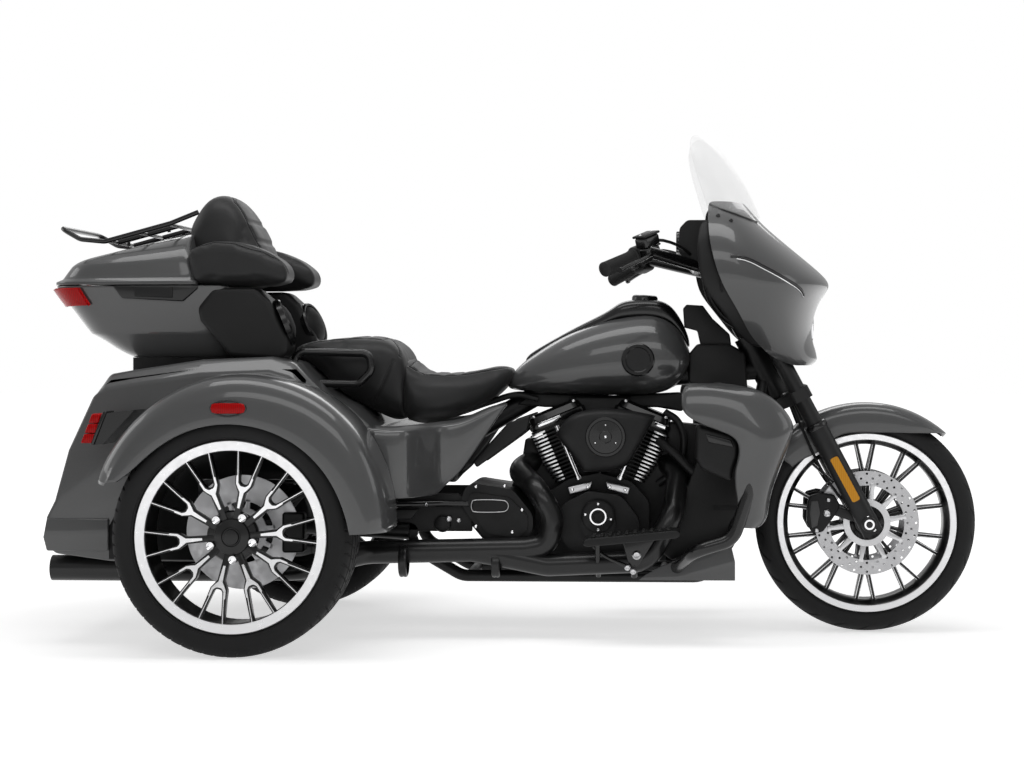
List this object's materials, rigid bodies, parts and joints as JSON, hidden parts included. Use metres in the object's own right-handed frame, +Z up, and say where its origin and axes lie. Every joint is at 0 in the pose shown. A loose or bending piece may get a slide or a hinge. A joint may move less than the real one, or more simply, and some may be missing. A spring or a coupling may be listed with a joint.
{
  "type": "motorized trike",
  "caption": "Full-size touring trike with a V-twin engine, fork-mounted fairing, steered front wheel, wide rear body with a trunk between two wheels, luggage box and backrest.",
  "frame": {"origin": "centre of the bounding box's base, on the ground between the wheels", "axes": "+X towards the front wheel, +Y to the rider's left, +Z up"},
  "size_m": [2.66, 1.39, 1.4468],
  "materials": {
    "body_paint": "gloss",
    "black_paint": "satin",
    "gloss_black": "gloss",
    "exhaust_black": "satin",
    "engine_black": "satin",
    "engine_grey": "cast",
    "chrome": "polished",
    "fork_black": "gloss",
    "wheel_black": "gloss",
    "disc_steel": "brushed",
    "radiator": "finned",
    "black_trim": "textured",
    "seat_cover": "grained",
    "grip_rubber": "ribbed",
    "tyre": "matt",
    "red_lens": "clear red",
    "amber_lens": "clear amber",
    "lamp_glass": "clear",
    "windshield": "clear"
  },
  "bodies": {
    "chassis": {"frame_tubes": "black_paint", "rear_axle": "black_paint", "crankcase": "engine_grey", "cylinders": "engine_black", "rocker_covers": "chrome", "pushrod_tubes": "chrome", "air_cleaner": "engine_black", "engine_covers": "engine_black", "transmission_case": "engine_black", "exhaust": "exhaust_black", "fuel_tank": "body_paint", "tank_console": "gloss_black", "seat": "seat_cover", "grab_loops": "gloss_black", "side_covers": "body_paint", "rear_body": "body_paint", "rear_fenders": "body_paint", "lamp_housings": "gloss_black", "red_lamps": "red_lens", "tour_box": "body_paint", "box_latch": "gloss_black", "box_carrier": "black_paint", "speaker_pods": "black_trim", "lower_fairings": "body_paint", "lower_pods": "black_trim", "engine_guard": "gloss_black", "radiator": "radiator", "chin_spoiler": "body_paint", "footboards": "black_trim"},
    "trunk_door": {"trunk_door": "body_paint", "plate_bracket": "black_trim"},
    "tour_lid": {"tour_lid": "body_paint", "backrest": "seat_cover", "luggage_rack": "gloss_black"},
    "steering": {"fork": "fork_black", "front_fender": "body_paint", "front_calipers": "engine_black", "reflectors": "amber_lens", "fairing": "body_paint", "inner_fairing": "black_trim", "headlamp": "lamp_glass", "windshield": "windshield", "controls": "gloss_black", "handlebar": "gloss_black", "grips": "grip_rubber"},
    "front_wheel": {"front_tyre": "tyre", "front_rim": "wheel_black", "front_discs": "disc_steel"},
    "rear_wheel_left": {"rear_tyre_left": "tyre", "rear_rim_left": "wheel_black", "rear_disc_left": "disc_steel"},
    "rear_wheel_right": {"rear_tyre_right": "tyre", "rear_rim_right": "wheel_black", "rear_disc_right": "disc_steel"}
  },
  "joints": [
    {"name": "steering", "type": "hinge", "parent": "chassis", "child": "steering", "pos_m": [0.72847, 0, 0.73659], "axis": [-0.4695, 0, 0.8829], "range_deg": [-30, 30]},
    {"name": "front_wheel_spin", "type": "hinge", "parent": "steering", "child": "front_wheel", "pos_m": [1.01, 0, 0.32], "axis": [0, 1, 0], "continuous": true},
    {"name": "rear_wheel_left_spin", "type": "hinge", "parent": "chassis", "child": "rear_wheel_left", "pos_m": [-0.725, 0.563, 0.323], "axis": [0, 1, 0], "continuous": true},
    {"name": "rear_wheel_right_spin", "type": "hinge", "parent": "chassis", "child": "rear_wheel_right", "pos_m": [-0.725, -0.563, 0.323], "axis": [0, 1, 0], "continuous": true},
    {"name": "tour_lid_hinge", "type": "hinge", "parent": "chassis", "child": "tour_lid", "pos_m": [-1.05, 0.312, 1.008], "axis": [-1, 0, 0], "range_deg": [0, 80]},
    {"name": "trunk_door_hinge", "type": "hinge", "parent": "chassis", "child": "trunk_door", "pos_m": [-1.295, 0, 0.35], "axis": [0, -1, 0], "range_deg": [0, 90]}
  ]
}
